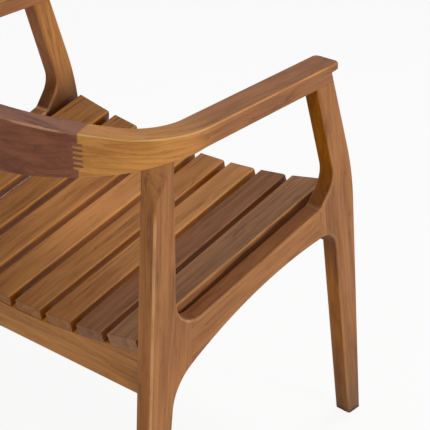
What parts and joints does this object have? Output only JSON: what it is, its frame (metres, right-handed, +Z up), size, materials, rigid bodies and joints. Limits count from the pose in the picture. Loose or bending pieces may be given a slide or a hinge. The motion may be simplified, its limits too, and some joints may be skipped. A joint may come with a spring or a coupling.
{
  "type": "garden armchair",
  "caption": "Wooden garden armchair with a dished slatted seat and a low horseshoe rail that runs from arm to arm round the back.",
  "frame": {"origin": "on the floor, at the middle of the chair's outline from above", "axes": "+Z up, the chair faces -Y, +X to the left of a person in the chair"},
  "size_m": [0.623, 0.5492, 0.66],
  "materials": {
    "crest_wood": "oiled",
    "arm_wood": "oiled",
    "frame_wood": "oiled",
    "rail_wood": "oiled",
    "slat_wood": "oiled",
    "tenon_wood": "bare",
    "glide_plastic": "matte"
  },
  "bodies": {
    "root": {"crest_rail": "crest_wood", "arm_left": "arm_wood", "arm_right": "arm_wood", "front_leg_left": "frame_wood", "front_leg_right": "frame_wood", "rear_leg_left": "frame_wood", "rear_leg_right": "frame_wood", "side_rail_left": "frame_wood", "side_rail_right": "frame_wood", "front_seat_rail": "rail_wood", "rear_seat_rail": "rail_wood", "slat_1": "slat_wood", "slat_2": "slat_wood", "slat_3": "slat_wood", "slat_4": "slat_wood", "slat_5": "slat_wood", "slat_6": "slat_wood", "slat_7": "slat_wood", "slat_8": "slat_wood", "side_rail_tenons": "tenon_wood", "cross_rail_tenons": "tenon_wood", "arm_tenons": "tenon_wood", "foot_glides": "glide_plastic"}
  },
  "joints": []
}
